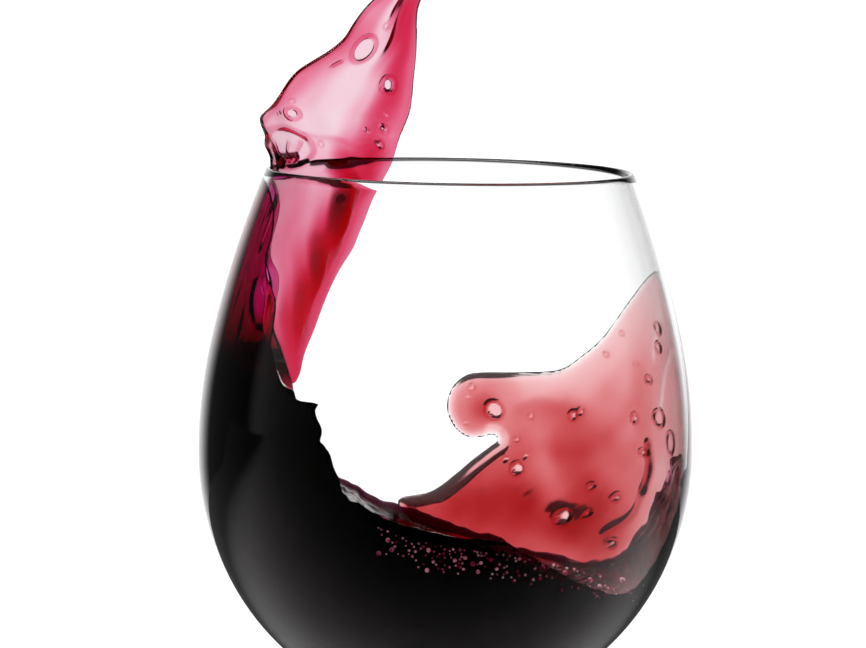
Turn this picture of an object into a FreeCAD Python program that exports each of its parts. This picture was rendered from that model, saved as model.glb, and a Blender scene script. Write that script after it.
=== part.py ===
import FreeCAD, Part
import math
import os

# A stemmed red-wine glass with its wine caught in mid swirl.
# Millimetres, +Z up. The origin is the centre of the foot, on the table.
# -X is the side that the wine climbs, +Y is the far side, where its thin sheets cling.

# ---- the glass
RIM_HEIGHT = 208.0          # table to the top of the lip
BOWL_RADIUS = 46.0          # widest outside radius
WIDEST_DROP = 52.2          # lip to the widest level
BOWL_DEPTH_BELOW = 49.0     # widest level down to the bowl's outer bottom
WALL = 1.2                  # wall thickness, and the lip's
BOTTOM_WALL = 3.2           # thickness under the wine at the axis
SHOULDER_ARC = 97.0         # radius of the wall's arc just above the widest level
SHOULDER_RISE = 20.5        # height that this arc covers
UPPER_ARC = 193.0           # radius of the flatter arc from there to the lip
STEM_RADIUS = 3.7           # at its thinnest
STEM_BASE_RADIUS = 3.95     # just above the foot
STEM_TOP_LEVEL = 78.0       # where the stem starts to open into the bowl
STEM_BASE_LEVEL = 34.0      # where the foot's sweep has become the stem
STEM_FLARE = 22.0           # how long the stem's top keeps its line as it opens
BOWL_JOIN_RADIUS = 13.0     # where the stem's flare runs into the bowl
BOWL_JOIN_LEAD = 7.0        # how long the flare keeps the bowl's line there
FOOT_RADIUS = 38.0
FOOT_EDGE = 1.8             # thickness of the foot's rounded edge
FOOT_SWEEP_RADIUS = 14.0    # where the foot's top turns up towards the stem
FOOT_SWEEP_LEVEL = 8.0
FOOT_RING_INNER = 33.0      # inner radius of the ring that touches the table
FOOT_HOLLOW = 1.2           # height of the hollow under the foot

# ---- the wine
SHEET = 2.0                 # thickness of the sheet that flies up past the lip
FILM = 1.8                  # thickness of the film on the far right wall
FLARE = 3.2                 # how far the flying sheet leans out over the lip
FLARE_LEVEL = 9.0           # height over the lip where it leans out most
SPLASH_TOP = 37.5           # height of the splash's tip over the lip
SPLASH_TIP_X = -3.6
CREST_DROP = 2.4            # top of the thick wine on the left wall, below the lip
WAVE_INSET = 13.0           # from the axis plane's left wall to the steep wave face
SCOOP_DROP = 66.7           # level at the bottom of the scooped wave face
REST_DROP = 71.4            # level of the calmer wine to the right
RIGHT_DROP = 78.0           # level where it meets the right wall
NEAR_RAISE = 2.4            # how far the surface is drawn up along the near wall
NEAR_PUSH = 2.2             # and its steep face pushed to the right there
FAR_RAISE = 1.2             # the same along the far wall
FAR_PUSH = -1.6
CURL_X = 6.0                # centre of the curled lobe on the far wall
CURL_DROP = 48.6
CURL_RADIUS = 6.4
CURL_THICK = 4.6            # how far the lobe stands in from the wall
CURL_SEAT = 0.7             # the lobe's middle lies this far in from the wall
FILM_TOP_DROP = 16.5        # top of the film on the right wall
FILM_FRONT_TOP = 4.0        # Y of the film's near edge at its top, on the right wall
FILM_FRONT_LOW = -30.0      # and where that edge runs down into the calm wine

PAST_WALL = 5.0             # how far the solids that cut or are cut run on past the bowl

WIDEST_LEVEL = RIM_HEIGHT - WIDEST_DROP
WAVE_X = -(BOWL_RADIUS - WAVE_INSET)    # the steep face, near the lip


def point(x, z):
    """A point of the XZ plane."""
    return FreeCAD.Vector(x, 0, z)


def below_lip(x, drop):
    """A point of the XZ plane, given by its drop below the lip."""
    return point(x, RIM_HEIGHT - drop)


def line(a, b):
    return Part.makeLine(a, b)


def arc_about(cx, cz, radius, start, end):
    """A circular arc from angle start to end, in radians from +X towards +Z."""
    def on(angle):
        return point(cx + radius * math.cos(angle), cz + radius * math.sin(angle))
    return Part.Arc(on(start), on(0.5 * (start + end)), on(end)).toShape()


def smooth(points):
    """One smooth curve through the points."""
    curve = Part.BSplineCurve()
    curve.interpolate(points)
    return curve.toShape()


def bezier(poles):
    curve = Part.BezierCurve()
    curve.setPoles(poles)
    return curve.toShape()


def revolve(edges):
    """The solid of revolution about Z of a closed outline in the XZ plane."""
    face = Part.Face(Part.Wire(edges))
    return face.revolve(FreeCAD.Vector(0, 0, 0), FreeCAD.Vector(0, 0, 1), 360)


def slab(edges, near_y, far_y):
    """A closed outline of the XZ plane, extruded along Y."""
    face = Part.Face(Part.Wire(edges))
    face.translate(FreeCAD.Vector(0, near_y, 0))
    return face.extrude(FreeCAD.Vector(0, far_y - near_y, 0))


def wall_arcs(inset):
    """The wall's two arcs, from the widest level up, moved in by inset.

    Returns the two edges and the end point, where the lip begins.
    """
    first_angle = math.asin(SHOULDER_RISE / SHOULDER_ARC)
    first_x = BOWL_RADIUS - SHOULDER_ARC
    join_x = first_x + SHOULDER_ARC * math.cos(first_angle)
    join_z = WIDEST_LEVEL + SHOULDER_RISE
    second_x = join_x - UPPER_ARC * math.cos(first_angle)
    second_z = join_z - UPPER_ARC * math.sin(first_angle)
    lip_centre_z = RIM_HEIGHT - 0.5 * WALL
    last_angle = math.asin((lip_centre_z - second_z) / (UPPER_ARC - 0.5 * WALL))
    first = arc_about(first_x, WIDEST_LEVEL, SHOULDER_ARC - inset, 0.0, first_angle)
    second = arc_about(second_x, second_z, UPPER_ARC - inset, first_angle, last_angle)
    end_x = second_x + (UPPER_ARC - inset) * math.cos(last_angle)
    end_z = second_z + (UPPER_ARC - inset) * math.sin(last_angle)
    return first, second, point(end_x, end_z), last_angle


def lower_bowl(radius, depth, start=0.0):
    """The bowl's lower outline: part of an ellipse, from its bottom to the widest level."""
    centre = point(0, WIDEST_LEVEL)
    bottom = point(0, WIDEST_LEVEL - depth)
    side = point(radius, WIDEST_LEVEL)
    if depth >= radius:
        return Part.Ellipse(bottom, side, centre).toShape(start, 0.5 * math.pi)
    # a bowl wider than it is deep has its long axis level
    return Part.Ellipse(side, bottom, centre).toShape(0.0, 0.5 * math.pi - start)


def make_glass():
    """Foot, stem and bowl, blown as one."""
    outer_first, outer_second, outer_end, lean = wall_arcs(0.0)
    inner_first, inner_second, inner_end, lean = wall_arcs(WALL)
    half = 0.5 * WALL
    lip_x = 0.5 * (outer_end.x + inner_end.x)
    lip_z = 0.5 * (outer_end.z + inner_end.z)
    lip = arc_about(lip_x, lip_z, half, lean, lean + math.pi)

    join = math.asin(BOWL_JOIN_RADIUS / BOWL_RADIUS)
    join_z = WIDEST_LEVEL - BOWL_DEPTH_BELOW * math.cos(join)
    run_x = BOWL_RADIUS * math.cos(join)
    run_z = BOWL_DEPTH_BELOW * math.sin(join)
    lead = BOWL_JOIN_LEAD / math.hypot(run_x, run_z)
    join_point = point(BOWL_JOIN_RADIUS, join_z)
    before_join = point(BOWL_JOIN_RADIUS - lead * run_x, join_z - lead * run_z)
    stem_top = point(STEM_RADIUS, STEM_TOP_LEVEL)
    flare = bezier([stem_top, point(STEM_RADIUS, STEM_TOP_LEVEL + STEM_FLARE), before_join, join_point])

    stem_base = point(STEM_BASE_RADIUS, STEM_BASE_LEVEL)
    foot_top = point(FOOT_RADIUS - 0.5 * FOOT_EDGE, FOOT_EDGE)
    sweep_out = point(FOOT_SWEEP_RADIUS, 2.0 * FOOT_EDGE)
    sweep_up = point(STEM_BASE_RADIUS + 0.4, FOOT_SWEEP_LEVEL)
    sweep = bezier([foot_top, sweep_out, sweep_up, stem_base])
    edge = arc_about(FOOT_RADIUS - 0.5 * FOOT_EDGE, 0.5 * FOOT_EDGE, 0.5 * FOOT_EDGE,
                     -0.5 * math.pi, 0.5 * math.pi)
    ring_outer = point(FOOT_RADIUS - 0.5 * FOOT_EDGE, 0)
    ring_inner = point(FOOT_RING_INNER, 0)
    hollow_top = point(0, FOOT_HOLLOW)
    hollow = bezier([hollow_top, point(0.55 * FOOT_RING_INNER, FOOT_HOLLOW), ring_inner])
    inner_bottom = point(0, WIDEST_LEVEL - BOWL_DEPTH_BELOW + BOTTOM_WALL)

    outline = [
        hollow,
        line(ring_inner, ring_outer),
        edge,
        sweep,
        line(stem_base, stem_top),
        flare,
        lower_bowl(BOWL_RADIUS, BOWL_DEPTH_BELOW, join),
        outer_first,
        outer_second,
        lip,
        inner_second,
        inner_first,
        lower_bowl(BOWL_RADIUS - WALL, BOWL_DEPTH_BELOW - BOTTOM_WALL),
        line(inner_bottom, hollow_top),
    ]
    return revolve(outline)


def inside(inset):
    """All the room inside the wall, and on up past the lip where the sheet leans out.

    With an inset it is the same room, that much smaller all round.
    """
    first, second, lip, lean = wall_arcs(WALL + inset)
    ceiling = SPLASH_TOP + 4.0
    lean_out = smooth([
        lip,
        below_lip(lip.x - 0.12 * FLARE, 0.1 * WALL),
        below_lip(lip.x + 0.05 * FLARE, -0.20 * FLARE_LEVEL),
        below_lip(lip.x + 0.68 * FLARE, -0.50 * FLARE_LEVEL),
        below_lip(lip.x + FLARE, -FLARE_LEVEL),
        below_lip(lip.x + 0.75 * FLARE, -2.0 * FLARE_LEVEL),
        below_lip(lip.x - 0.20 * FLARE, -3.2 * FLARE_LEVEL),
        below_lip(lip.x - 1.10 * FLARE, -ceiling),
    ])
    radius = BOWL_RADIUS - WALL - inset
    depth = BOWL_DEPTH_BELOW - BOTTOM_WALL - inset
    top = below_lip(0, -ceiling)
    outline = [
        lower_bowl(radius, depth),
        first,
        second,
        lean_out,
        line(below_lip(lip.x - 1.10 * FLARE, -ceiling), top),
        line(top, point(0, WIDEST_LEVEL - depth)),
    ]
    return revolve(outline)


def wave_section(y, raised, pushed):
    """A section across the thick wine at one Y, as a closed wire.

    The wine is thrown up the left wall, scooped out, and calmer to the right. raised lifts
    the scoop and the calm wine, and pushed moves the steep face to the right.
    """
    left = WAVE_X
    start = below_lip(-BOWL_RADIUS - 4.0, CREST_DROP - 5.0)
    end = below_lip(BOWL_RADIUS + 4.0, RIGHT_DROP + 2.0)
    surface = smooth([
        start,
        below_lip(left - 3.0, CREST_DROP - 1.2),
        below_lip(left - 0.2, CREST_DROP + 3.6),
        below_lip(left - 1.4 + 0.2 * pushed, 17.0),
        below_lip(left + 0.2 + 0.5 * pushed, 31.0),
        below_lip(left + 5.8 + 0.8 * pushed, 43.8),
        below_lip(left + 13.5 + pushed, 58.8 - 0.5 * raised),
        below_lip(left + 24.8 + pushed, SCOOP_DROP - raised),
        below_lip(left + 40.0, REST_DROP - 1.0 - raised),
        below_lip(left + 58.0, REST_DROP + 1.2 - 0.6 * raised),
        end,
    ])
    low = WIDEST_DROP + BOWL_DEPTH_BELOW + 10.0
    low_right = below_lip(end.x, low)
    low_left = below_lip(start.x, low)
    wire = Part.Wire([surface, line(end, low_right), line(low_right, low_left), line(low_left, start)])
    wire.translate(FreeCAD.Vector(0, y, 0))
    return wire


def thick_wine():
    """The body of the wine, its surface drawn up a little along the near and far walls."""
    reach = BOWL_RADIUS + PAST_WALL
    near = wave_section(-reach, NEAR_RAISE, NEAR_PUSH)
    middle = wave_section(0.0, 0.0, 0.0)
    far = wave_section(reach, FAR_RAISE, FAR_PUSH)
    return Part.makeLoft([near, middle, far], True)


def flying_sheet():
    """The sheet on the far left wall that leaves the glass and ends in a tip.

    Its outline is drawn from the steep face that it springs from.
    """
    tip = below_lip(SPLASH_TIP_X, -SPLASH_TOP)
    foot = below_lip(WAVE_X + 3.5, 47.5)
    right_edge = smooth([
        tip,
        below_lip(WAVE_X + 26.8, -31.0),
        below_lip(WAVE_X + 26.1, -21.0),
        below_lip(WAVE_X + 25.4, -10.0),
        below_lip(WAVE_X + 22.4, 0.0),
        below_lip(WAVE_X + 18.8, 11.3),
        below_lip(WAVE_X + 14.2, 22.1),
        below_lip(WAVE_X + 9.5, 33.8),
        foot,
    ])
    shoulder = below_lip(WAVE_X - 2.6, -8.2)
    left_edge = smooth([
        tip,
        below_lip(WAVE_X + 21.5, -33.6),
        below_lip(WAVE_X + 15.6, -26.8),
        below_lip(WAVE_X + 10.2, -20.8),
        below_lip(WAVE_X + 2.6, -15.4),
        shoulder,
    ])
    corner = below_lip(WAVE_X - 2.2, -1.0)
    buried = below_lip(WAVE_X - 6.0, 22.0)
    outline = [right_edge, line(foot, buried), line(buried, corner), line(corner, shoulder), left_edge]
    return slab(outline, 1.5, BOWL_RADIUS + PAST_WALL).cut(inside(SHEET))


def far_film():
    """The film on the far right wall, from the curled lobe round to the right."""
    top_right = below_lip(BOWL_RADIUS + 3.0, FILM_TOP_DROP - 3.0)
    notch = below_lip(9.4, 54.2)
    toe = below_lip(-6.0, SCOOP_DROP + 4.0)
    upper = smooth([
        below_lip(CURL_X, CURL_DROP - CURL_RADIUS),
        below_lip(14.3, 42.0),
        below_lip(22.0, 41.0),
        below_lip(29.4, 34.4),
        below_lip(36.3, 23.6),
        top_right,
    ])
    lower = smooth([toe, below_lip(1.5, 62.6), below_lip(8.4, 57.4), notch])
    low_right = below_lip(top_right.x, RIGHT_DROP + 8.0)
    low_left = below_lip(toe.x, RIGHT_DROP + 8.0)
    curl = below_lip(CURL_X, CURL_DROP - CURL_RADIUS)
    outline = [
        upper,
        line(top_right, low_right),
        line(low_right, low_left),
        line(low_left, toe),
        lower,
        line(notch, curl),
    ]
    film = slab(outline, FILM_FRONT_LOW - 10.0, BOWL_RADIUS + PAST_WALL)
    return film.cut(inside(FILM)).cut(in_front_of_film())


def in_front_of_film():
    """What lies nearer than the film's sloping near edge on the right wall."""
    reach = BOWL_RADIUS + 8.0
    high = FreeCAD.Vector(0, FILM_FRONT_TOP + 6.0, RIM_HEIGHT)
    low = FreeCAD.Vector(0, FILM_FRONT_LOW - 12.0, RIM_HEIGHT - RIGHT_DROP - 12.0)
    edge = smooth([
        high,
        FreeCAD.Vector(0, FILM_FRONT_TOP, RIM_HEIGHT - FILM_TOP_DROP),
        FreeCAD.Vector(0, 0.6 * FILM_FRONT_TOP + 0.4 * FILM_FRONT_LOW, RIM_HEIGHT - 46.0),
        FreeCAD.Vector(0, FILM_FRONT_LOW, RIM_HEIGHT - RIGHT_DROP + 4.0),
        low,
    ])
    low_near = FreeCAD.Vector(0, -reach, low.z)
    high_near = FreeCAD.Vector(0, -reach, high.z)
    face = Part.Face(Part.Wire([edge, line(low, low_near), line(low_near, high_near), line(high_near, high)]))
    return face.extrude(FreeCAD.Vector(reach, 0, 0))


def curled_lobe():
    """The round head of the film, standing in from the far wall."""
    reach = BOWL_RADIUS - WALL
    far = math.sqrt(reach * reach - CURL_X * CURL_X)
    along_y = FreeCAD.Vector(0, CURL_THICK - CURL_SEAT, 0)
    ellipse = Part.Ellipse(FreeCAD.Vector(CURL_RADIUS, 0, 0), along_y, FreeCAD.Vector(0, 0, 0))
    half = ellipse.toShape(-0.5 * math.pi, 0.5 * math.pi)
    face = Part.Face(Part.Wire([half, line(along_y, -1.0 * along_y)]))
    lobe = face.revolve(FreeCAD.Vector(0, 0, 0), FreeCAD.Vector(0, 1, 0), 360)
    lobe.translate(below_lip(CURL_X, CURL_DROP) + FreeCAD.Vector(0, far - CURL_SEAT, 0))
    return lobe


def make_wine():
    """One body of wine, face to face with the glass."""
    wine = thick_wine().fuse([flying_sheet(), far_film(), curled_lobe()])
    return inside(0.0).common(wine).removeSplitter()


def save(name, shape):
    solids = shape.Solids
    if len(solids) != 1 or not solids[0].isValid():
        raise RuntimeError("%s: %d solids, valid %s" % (name, len(solids), shape.isValid()))
    solids[0].exportStep("parts/%s.step" % name)
    box = solids[0].BoundBox
    print("%-6s volume %8.0f mm3, z %.1f to %.1f" % (name, solids[0].Volume, box.ZMin, box.ZMax))


os.makedirs("parts", exist_ok=True)
glass = make_glass()
wine = make_wine()
save("glass", glass)
save("wine", wine)
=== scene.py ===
"""A stemmed glass of red wine, caught in mid swirl, in a plain white studio.

Lengths in this script are millimetres until mm() turns them into metres. H is a height over
the lip, so it is negative inside the bowl. X is to the right, Y is away from the camera.
"""
import math

import bmesh
import bpy
import numpy as np
from mathutils import Matrix, Vector


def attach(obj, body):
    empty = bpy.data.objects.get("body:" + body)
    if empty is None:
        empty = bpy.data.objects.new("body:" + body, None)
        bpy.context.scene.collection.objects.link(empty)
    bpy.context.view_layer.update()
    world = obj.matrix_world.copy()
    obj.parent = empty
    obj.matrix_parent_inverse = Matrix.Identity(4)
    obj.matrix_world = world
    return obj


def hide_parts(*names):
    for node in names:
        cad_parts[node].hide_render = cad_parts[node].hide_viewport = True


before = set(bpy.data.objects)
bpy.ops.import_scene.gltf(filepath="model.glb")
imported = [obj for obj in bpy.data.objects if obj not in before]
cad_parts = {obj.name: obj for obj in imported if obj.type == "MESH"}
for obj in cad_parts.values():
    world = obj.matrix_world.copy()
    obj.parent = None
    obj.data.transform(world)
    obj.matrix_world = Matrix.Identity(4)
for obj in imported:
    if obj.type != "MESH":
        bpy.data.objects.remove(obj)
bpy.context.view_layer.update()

MM = 0.001

# ---- the glass, as the CAD has it
RIM = 208.0
WIDEST_H = -52.2
BOWL_RADIUS = 46.0
BOWL_DEPTH = 49.0
WALL = 1.2
BOTTOM_WALL = 3.2
SHOULDER_ARC = 97.0
SHOULDER_RISE = 20.5
UPPER_ARC = 193.0
STEM_RADIUS = 3.7
STEM_BASE_RADIUS = 3.95
FOOT_RADIUS = 38.0
FOOT_EDGE = 1.8
FOOT_RING_INNER = 33.0
FOOT_HOLLOW = 1.2
BOWL_JOIN_RADIUS = 13.0
BOWL_JOIN_LEAD = 7.0
FOOT_SWEEP_RADIUS = 14.0
FOOT_SWEEP_LEVEL = 8.0
STEM_BOTTOM = 34.0
STEM_TOP = 78.0
STEM_FLARE = 22.0

# ---- how far the wine reaches into the glass wall
BULK_SEAT = 0.08
SHEET_SEAT = 0.27

# ---- where the camera stands: a metre off, a little over the lip, leaning one degree
CAMERA_X = -2.69
CAMERA_DISTANCE = 1000.0
CAMERA_OVER_LIP = 70.0
LIP_OVER_CENTRE = 28.7525      # the lip's middle over the middle of the frame
FRAME_WIDTH = 160.95476        # what the frame spans at the glass
CAMERA_ROLL = math.radians(1.0)

UNFOLD = 40.0       # unrolled width for each radian round the axis


# ------------------------------------------------------------------ small maths

def smoothstep(x, low, high):
    t = np.clip((np.asarray(x, float) - low) / (high - low), 0.0, 1.0)
    return t * t * (3.0 - 2.0 * t)


def pchip(x, xs, ys):
    """A smooth curve through the points that never overshoots them; xs ascends."""
    x = np.clip(np.asarray(x, float), xs[0], xs[-1])
    xs = np.asarray(xs, float)
    ys = np.asarray(ys, float)
    width = np.diff(xs)
    slope = np.diff(ys) / width
    tangent = np.zeros(len(xs))
    for i in range(1, len(xs) - 1):
        if slope[i - 1] * slope[i] > 0.0:
            tangent[i] = 2.0 * slope[i - 1] * slope[i] / (slope[i - 1] + slope[i])
    tangent[0] = slope[0]
    tangent[-1] = slope[-1]
    i = np.clip(np.searchsorted(xs, x, side="right") - 1, 0, len(xs) - 2)
    t = (x - xs[i]) / width[i]
    a = ys[i] * (1 + 2 * t) * (1 - t) ** 2 + ys[i + 1] * t * t * (3 - 2 * t)
    b = width[i] * (tangent[i] * t * (1 - t) ** 2 - tangent[i + 1] * t * t * (1 - t))
    return a + b


def catmull(points, step):
    """A smooth line through the points, resampled about every step."""
    points = np.asarray(points, float)
    padded = np.vstack([2 * points[0] - points[1], points, 2 * points[-1] - points[-2]])
    out = []
    for i in range(1, len(padded) - 2):
        p0, p1, p2, p3 = padded[i - 1:i + 3]
        count = max(2, int(np.linalg.norm(p2 - p1) / step))
        t = (np.arange(count) / count)[:, None]
        out.append(0.5 * (2 * p1 + (p2 - p0) * t + (2 * p0 - 5 * p1 + 4 * p2 - p3) * t ** 2
                          + (3 * p1 - p0 - 3 * p2 + p3) * t ** 3))
    out.append(padded[-2][None, :])
    line = np.vstack(out)
    length = np.concatenate([[0.0], np.cumsum(np.linalg.norm(np.diff(line, axis=0), axis=1))])
    even = np.linspace(0.0, length[-1], max(3, int(length[-1] / step) + 1))
    return np.column_stack([np.interp(even, length, line[:, k]) for k in range(line.shape[1])])


def waves(x, y, scale, seed, octaves=3):
    """Soft seeded noise from -1 to 1: sums of tilted sines."""
    rng = np.random.default_rng(seed)
    total = np.zeros(np.broadcast(x, y).shape)
    weight = 0.0
    for octave in range(octaves):
        for _ in range(5):
            angle = rng.uniform(0, 2 * math.pi)
            phase = rng.uniform(0, 2 * math.pi)
            k = 2 * math.pi * 2 ** octave / scale * rng.uniform(0.7, 1.3)
            total = total + np.sin(k * (x * math.cos(angle) + y * math.sin(angle)) + phase) / 2 ** octave
        weight += 1.0 / 2 ** octave
    return total / (2.4 * weight)


def distance_to_line(x, y, line):
    """Distance from each point to an open polyline."""
    best = np.full(x.shape, 1e9)
    for (ax, ay), (bx, by) in zip(line[:-1], line[1:]):
        dx, dy = bx - ax, by - ay
        t = np.clip(((x - ax) * dx + (y - ay) * dy) / (dx * dx + dy * dy + 1e-12), 0.0, 1.0)
        best = np.minimum(best, (x - ax - t * dx) ** 2 + (y - ay - t * dy) ** 2)
    return np.sqrt(best)


def inside_distance(x, y, outline):
    """Signed distance to a closed outline: positive inside."""
    closed = np.vstack([outline, outline[:1]])
    inside = np.zeros(x.shape, bool)
    for (ax, ay), (bx, by) in zip(closed[:-1], closed[1:]):
        if ay == by:
            continue
        crosses = (ay > y) != (by > y)
        inside ^= crosses & (x < (bx - ax) * (y - ay) / (by - ay) + ax)
    return np.where(inside, 1.0, -1.0) * distance_to_line(x, y, closed)


# ------------------------------------------------------------------ mesh helpers

def make_object(name, vertices, faces):
    mesh = bpy.data.meshes.new(name)
    mesh.from_pydata((np.asarray(vertices, float) * MM).tolist(), [], faces)
    mesh.validate()
    obj = bpy.data.objects.new(name, mesh)
    bpy.context.scene.collection.objects.link(obj)
    mesh.shade_smooth()
    return obj


def outward(obj):
    """Turns every face outward."""
    bm = bmesh.new()
    bm.from_mesh(obj.data)
    bmesh.ops.recalc_face_normals(bm, faces=bm.faces)
    bm.to_mesh(obj.data)
    bm.free()


def triangulate(obj):
    bm = bmesh.new()
    bm.from_mesh(obj.data)
    bmesh.ops.triangulate(bm, faces=bm.faces)
    bm.to_mesh(obj.data)
    bm.free()


def combine(target, tool, operation):
    """Joins, cuts or intersects target with tool, then deletes tool."""
    modifier = target.modifiers.new("combine", "BOOLEAN")
    modifier.operation = operation
    modifier.solver = "MANIFOLD"
    modifier.object = tool
    depsgraph = bpy.context.evaluated_depsgraph_get()
    mesh = bpy.data.meshes.new_from_object(target.evaluated_get(depsgraph))
    target.modifiers.clear()
    old = target.data
    target.data = mesh
    bpy.data.meshes.remove(old)
    spare = tool.data
    bpy.data.objects.remove(tool)
    bpy.data.meshes.remove(spare)


# ------------------------------------------------------------------ the glass

def inner_radius(h, grow=0.0):
    """Radius of the bowl's inner face at heights h, moved out by grow."""
    h = np.asarray(h, float)
    depth = BOWL_DEPTH - BOTTOM_WALL + grow
    lower = (BOWL_RADIUS - WALL + grow) * np.sqrt(np.clip(1 - ((WIDEST_H - h) / depth) ** 2, 0, None))
    lean = math.asin(SHOULDER_RISE / SHOULDER_ARC)
    first_r = SHOULDER_ARC - WALL + grow
    first = BOWL_RADIUS - SHOULDER_ARC + np.sqrt(np.clip(first_r ** 2 - (h - WIDEST_H) ** 2, 0, None))
    centre_x = BOWL_RADIUS - SHOULDER_ARC + (SHOULDER_ARC - UPPER_ARC) * math.cos(lean)
    centre_h = WIDEST_H + SHOULDER_RISE - UPPER_ARC * math.sin(lean)
    second_r = UPPER_ARC - WALL + grow
    second = centre_x + np.sqrt(np.clip(second_r ** 2 - (h - centre_h) ** 2, 0, None))
    join = WIDEST_H + first_r * math.sin(lean)
    return np.where(h < WIDEST_H, lower, np.where(h < join, first, second))


def bezier(poles, count):
    poles = np.asarray(poles, float)
    t = np.linspace(0, 1, count)[:, None]
    degree = len(poles) - 1
    return sum(math.comb(degree, k) * (1 - t) ** (degree - k) * t ** k * poles[k]
               for k in range(degree + 1))


def glass_profile():
    """The outline of foot, stem and bowl as (radius, height over the table)."""
    join = math.asin(BOWL_JOIN_RADIUS / BOWL_RADIUS)
    widest = RIM + WIDEST_H
    run = np.array([BOWL_RADIUS * math.cos(join), BOWL_DEPTH * math.sin(join)])
    joint = np.array([BOWL_JOIN_RADIUS, widest - BOWL_DEPTH * math.cos(join)])
    lead = joint - run * BOWL_JOIN_LEAD / np.linalg.norm(run)
    edge = np.linspace(-0.5 * math.pi, 0.5 * math.pi, 9)[:, None]
    half_edge = 0.5 * FOOT_EDGE
    hollow = bezier([(0, FOOT_HOLLOW), (0.55 * FOOT_RING_INNER, FOOT_HOLLOW), (FOOT_RING_INNER, 0)], 12)
    rounded = np.hstack([FOOT_RADIUS - half_edge + half_edge * np.cos(edge),
                         half_edge + half_edge * np.sin(edge)])
    sweep = bezier([(FOOT_RADIUS - half_edge, FOOT_EDGE), (FOOT_SWEEP_RADIUS, 2 * FOOT_EDGE),
                    (STEM_BASE_RADIUS + 0.4, FOOT_SWEEP_LEVEL), (STEM_BASE_RADIUS, STEM_BOTTOM)], 30)
    stem = np.column_stack([np.linspace(STEM_BASE_RADIUS, STEM_RADIUS, 8),
                            np.linspace(STEM_BOTTOM, STEM_TOP, 8)])
    flare = bezier([(STEM_RADIUS, STEM_TOP), (STEM_RADIUS, STEM_TOP + STEM_FLARE), lead, joint], 24)
    # the bowl's outer face, round the lip and down its inner face
    angle = np.linspace(join, 0.5 * math.pi, 32)[:, None]
    bowl = np.hstack([BOWL_RADIUS * np.sin(angle), widest - BOWL_DEPTH * np.cos(angle)])
    rise = np.linspace(WIDEST_H, -0.5 * WALL, 40)
    upper = np.column_stack([inner_radius(rise, WALL), RIM + rise])
    lip_x = 0.5 * (inner_radius(-0.5 * WALL, WALL) + inner_radius(-0.5 * WALL))
    turn = np.linspace(0.2, math.pi - 0.2, 9)[:, None]
    lip = np.hstack([lip_x + 0.5 * WALL * np.cos(turn), RIM - 0.5 * WALL + 0.5 * WALL * np.sin(turn)])
    inner_upper = np.column_stack([inner_radius(rise[::-1]), RIM + rise[::-1]])
    down = np.linspace(0.5 * math.pi, 0.0, 40)[:, None]
    inner = np.hstack([(BOWL_RADIUS - WALL) * np.sin(down),
                       widest - (BOWL_DEPTH - BOTTOM_WALL) * np.cos(down)])
    return np.vstack([hollow, rounded, sweep[1:], stem[1:], flare[1:], bowl[1:], upper[1:], lip,
                      inner_upper, inner[1:]])


def lathe(name, profile, segments):
    """Turns an outline, from axis to axis, about Z."""
    angle = np.linspace(0, 2 * math.pi, segments, endpoint=False)
    ring = profile[1:-1]
    x = ring[:, 0][:, None] * np.cos(angle)
    y = ring[:, 0][:, None] * np.sin(angle)
    z = np.repeat(ring[:, 1][:, None], segments, axis=1)
    vertices = np.vstack([np.stack([x, y, z], -1).reshape(-1, 3),
                          [[0, 0, profile[0, 1]], [0, 0, profile[-1, 1]]]])
    first, last = len(vertices) - 2, len(vertices) - 1
    faces = []
    rows = len(ring)
    for i in range(rows - 1):
        for j in range(segments):
            k = (j + 1) % segments
            faces.append((i * segments + j, i * segments + k,
                          (i + 1) * segments + k, (i + 1) * segments + j))
    for j in range(segments):
        k = (j + 1) % segments
        faces.append((first, k, j))
        faces.append((last, (rows - 1) * segments + j, (rows - 1) * segments + k))
    return make_object(name, vertices, faces)


# ------------------------------------------------------------------ the thick wine

# The wave from the front: x and h on the middle plane, and how far the surface is drawn up
# at the near wall and at the far wall.
WAVE = [(-50.0, 2.6, 0, 0), (-40.0, 0.6, 0, 0), (-35.2, -1.0, 0, 0), (-33.0, -3.4, 0, 0),
        (-32.2, -9.0, 0, 0), (-33.6, -17.0, 0, 0), (-31.8, -23.0, 0, 0), (-32.6, -31.0, 0, 0),
        (-30.8, -36.5, 0, 0), (-28.8, -40.4, 0, 0), (-28.1, -43.8, 0, 0), (-27.2, -47.6, 0, 0),
        (-25.2, -51.6, 0.2, 0.2), (-22.5, -57.0, 3.7, 2.7), (-19.5, -62.5, 5.9, 0.8),
        (-15.4, -67.5, 9.5, 0.6), (-8.2, -72.5, 11.0, 2.6), (0.5, -76.5, 13.1, 3.6), (9.0, -78.5, 14.0, 4.0),
        (20.0, -79.5, 12.4, 3.8), (28.0, -79.2, 9.1, 3.8), (33.0, -77.5, 6.0, 3.8), (36.6, -73.5, 2.0, 2.0),
        (39.3, -68.5, 0, 0), (41.3, -63.5, 0, 0), (42.6, -59.0, 0, 0), (43.6, -54.5, 0, 0),
        (50.0, -50.0, 0, 0)]
WAVE_STEP = 0.45
BLOCK_HALF = 50.0       # half the width of the block under the wave, and half its length
BLOCK_DEPTH = 108.0     # how far under the lip the block reaches
SIGHT_SLOPE = 0.14      # how much the line of sight drops for each mm further back, down there
FACE_TURN = 0.012       # how far the steep face turns off the line of sight
LEDGE_LEVEL = -45.4
LEDGE_REACH = 2.9
LEDGE_MIDDLE = -6.0     # the ledge runs on towards the camera from here, and fades behind


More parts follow.
